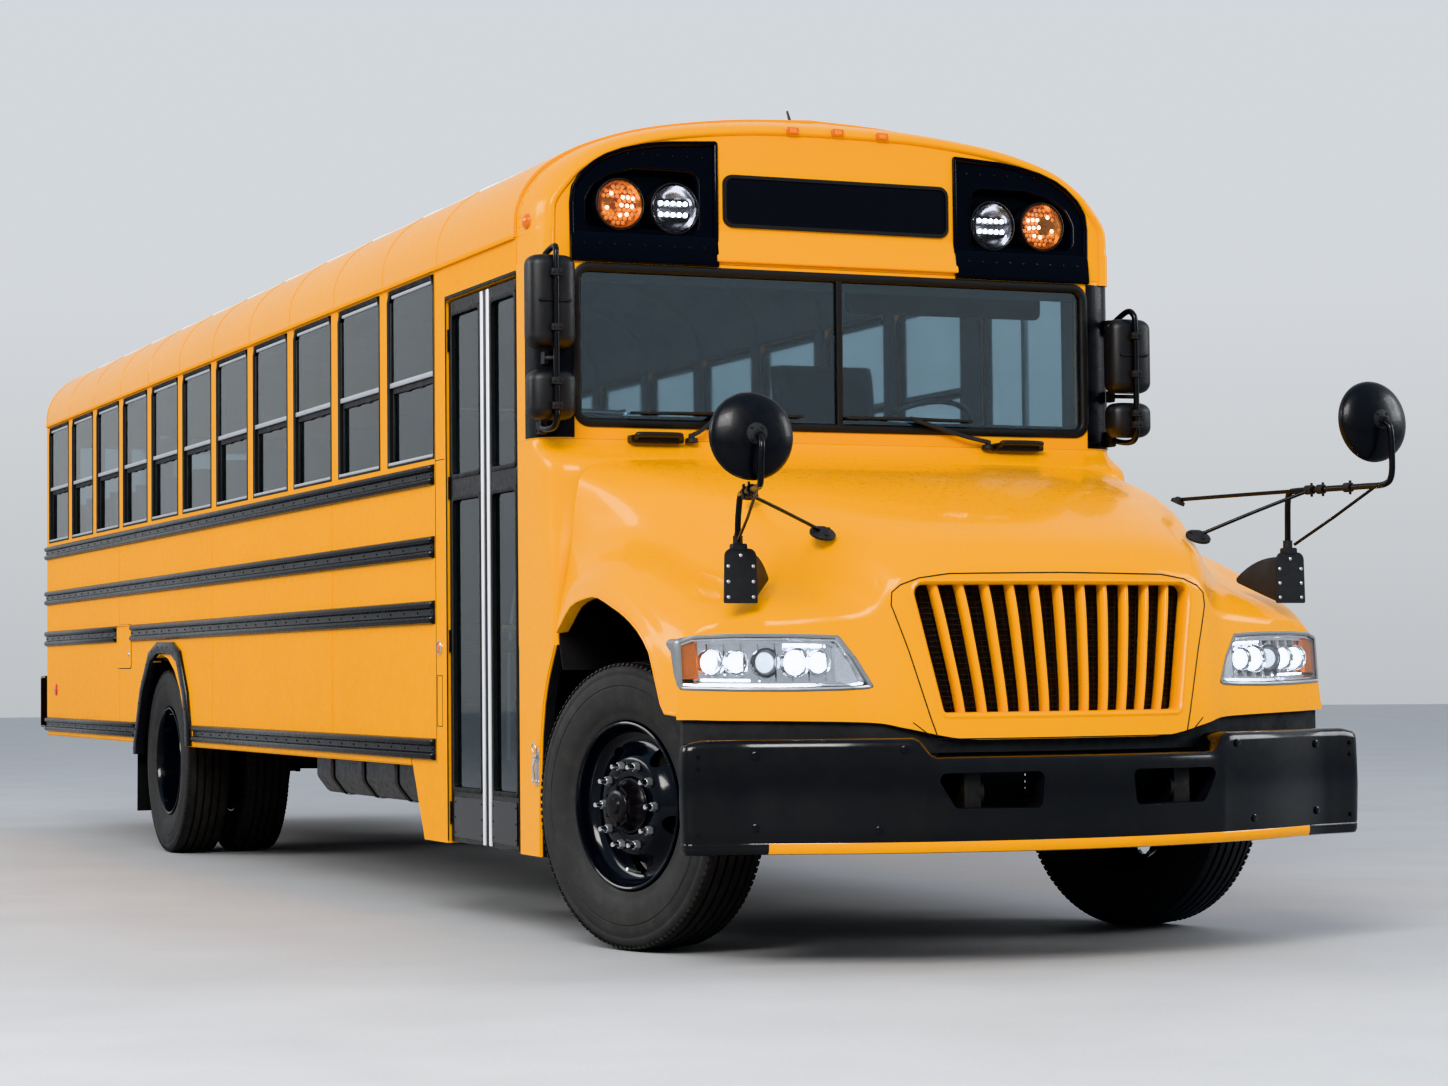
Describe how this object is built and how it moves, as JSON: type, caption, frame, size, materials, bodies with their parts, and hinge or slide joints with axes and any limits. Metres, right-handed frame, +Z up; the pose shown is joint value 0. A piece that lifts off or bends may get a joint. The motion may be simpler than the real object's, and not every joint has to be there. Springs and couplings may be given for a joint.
{
  "type": "school bus",
  "caption": "Long-nosed school bus: tilting hood, twin rear wheels, double-leaf service door, rear emergency door, roof hatches, stop arm and full rows of benches.",
  "frame": {"origin": "on the ground under the middle of the overall length and width", "axes": "+X towards the left side of the bus, -Y towards the front, +Z up"},
  "size_m": [2.6, 11.6588, 3.162],
  "materials": {
    "yellow_paint": "gloss school-bus yellow",
    "white_paint": "satin white",
    "black_paint": "gloss black",
    "frame_black": "matte black chassis paint",
    "cast": "raw cast",
    "tyre": "matte rubber",
    "glass": "tinted",
    "vinyl": "dark blue seat vinyl",
    "floor_rubber": "ribbed",
    "plastic_grey": "grained",
    "plastic_black": "grained",
    "lamp": "clear lens",
    "red_paint": "reflective red"
  },
  "bodies": {
    "body": {"chassis_frame": "frame_black", "cowl": "yellow_paint", "dashboard": "plastic_grey", "driver_seat": "vinyl", "driveshaft": "frame_black", "engine": "cast", "exhaust": "cast", "floor": "floor_rubber", "front_axle": "frame_black", "front_bumper": "black_paint", "front_cap": "yellow_paint", "fuel_tank": "black_paint", "rear_axle": "frame_black", "rear_bumper": "black_paint", "rear_wall": "yellow_paint", "roof": "yellow_paint", "seats_left": "vinyl", "seats_right": "vinyl", "side_mirror_left": "plastic_black", "side_mirror_right": "plastic_black", "side_wall_left": "yellow_paint", "side_wall_right": "yellow_paint", "windows_left": "glass", "windows_right": "glass", "windscreen": "glass", "windscreen_frame": "yellow_paint"},
    "knuckle_left": {"knuckle_left": "cast"},
    "knuckle_right": {"knuckle_right": "cast"},
    "front_wheel_left": {"front_tyre_left": "tyre", "front_rim_left": "black_paint"},
    "front_wheel_right": {"front_tyre_right": "tyre", "front_rim_right": "black_paint"},
    "rear_wheels_left": {"rear_rims_left": "black_paint", "rear_tyre_outer_left": "tyre", "rear_tyre_inner_left": "tyre"},
    "rear_wheels_right": {"rear_rims_right": "black_paint", "rear_tyre_outer_right": "tyre", "rear_tyre_inner_right": "tyre"},
    "tie_rod": {"tie_rod": "frame_black"},
    "steering_wheel": {"steering_wheel": "plastic_black"},
    "service_door_front": {"service_door_front": "black_paint"},
    "service_door_rear": {"service_door_rear": "black_paint"},
    "rear_door": {"rear_door": "yellow_paint"},
    "stop_arm": {"stop_arm": "red_paint"},
    "roof_hatch_front": {"roof_hatch_front": "white_paint"},
    "roof_hatch_rear": {"roof_hatch_rear": "white_paint"},
    "hood": {"hood": "yellow_paint", "grille": "yellow_paint", "headlight_left": "lamp", "headlight_right": "lamp", "crossview_mirror_left": "plastic_black", "crossview_mirror_right": "plastic_black"}
  },
  "joints": [
    {"name": "steer_left", "type": "hinge", "parent": "body", "child": "knuckle_left", "pos_m": [0.93, -4.4256, 0.505], "axis": [0, 0, 1], "range_deg": [-54.2, 21.8]},
    {"name": "steer_right", "type": "hinge", "parent": "body", "child": "knuckle_right", "pos_m": [-0.93, -4.4256, 0.505], "axis": [0, 0, 1], "range_deg": [-54.2, 21.8]},
    {"name": "tie_rod_pivot", "type": "hinge", "parent": "knuckle_left", "child": "tie_rod", "pos_m": [0.88257, -4.26235, 0.395], "axis": [0, 0, 1], "range_deg": [-21.8, 54.2]},
    {"name": "steering_wheel_turn", "type": "hinge", "parent": "body", "child": "steering_wheel", "pos_m": [0.62, -3.3656, 1.93], "axis": [0, 0.5299, 0.848], "range_deg": [-980, 396]},
    {"name": "front_wheel_left_spin", "type": "hinge", "parent": "knuckle_left", "child": "front_wheel_left", "pos_m": [1.00202, -4.40468, 0.505], "axis": [0.9603, 0.279, 0], "continuous": true},
    {"name": "front_wheel_right_spin", "type": "hinge", "parent": "knuckle_right", "child": "front_wheel_right", "pos_m": [-1.00202, -4.44652, 0.505], "axis": [0.9603, 0.279, 0], "continuous": true},
    {"name": "rear_wheels_left_spin", "type": "hinge", "parent": "body", "child": "rear_wheels_left", "pos_m": [0.9, 2.3124, 0.505], "axis": [1, 0, 0], "continuous": true},
    {"name": "rear_wheels_right_spin", "type": "hinge", "parent": "body", "child": "rear_wheels_right", "pos_m": [-0.9, 2.3124, 0.505], "axis": [1, 0, 0], "continuous": true},
    {"name": "service_door_front_swing", "type": "hinge", "parent": "body", "child": "service_door_front", "pos_m": [-1.208, -3.6816, 1.38], "axis": [0, 0, 1], "range_deg": [0, 90]},
    {"name": "service_door_rear_swing", "type": "hinge", "parent": "body", "child": "service_door_rear", "pos_m": [-1.208, -2.8286, 1.38], "axis": [0, 0, -1], "range_deg": [0, 90]},
    {"name": "rear_door_swing", "type": "hinge", "parent": "body", "child": "rear_door", "pos_m": [-0.462, 5.6424, 1.84], "axis": [0, 0, 1], "range_deg": [0, 110]},
    {"name": "stop_arm_swing", "type": "hinge", "parent": "body", "child": "stop_arm", "pos_m": [1.263, -2.6256, 1.64], "axis": [0, 0, -1], "range_deg": [0, 90]},
    {"name": "roof_hatch_front_lift", "type": "hinge", "parent": "body", "child": "roof_hatch_front", "pos_m": [0, -1.6556, 3.112], "axis": [1, 0, 0], "range_deg": [0, 80]},
    {"name": "roof_hatch_rear_lift", "type": "hinge", "parent": "body", "child": "roof_hatch_rear", "pos_m": [0, 2.8444, 3.112], "axis": [1, 0, 0], "range_deg": [0, 80]},
    {"name": "hood_tilt", "type": "hinge", "parent": "body", "child": "hood", "pos_m": [0, -5.6256, 0.72], "axis": [1, 0, 0], "range_deg": [0, 65]}
  ],
  "couplings": [
    {"joint": "steer_right", "follows": "steer_left", "ratio": 1},
    {"joint": "tie_rod_pivot", "follows": "steer_left", "ratio": -1},
    {"joint": "steering_wheel_turn", "follows": "steer_left", "ratio": 18},
    {"joint": "service_door_rear_swing", "follows": "service_door_front_swing", "ratio": 1}
  ]
}
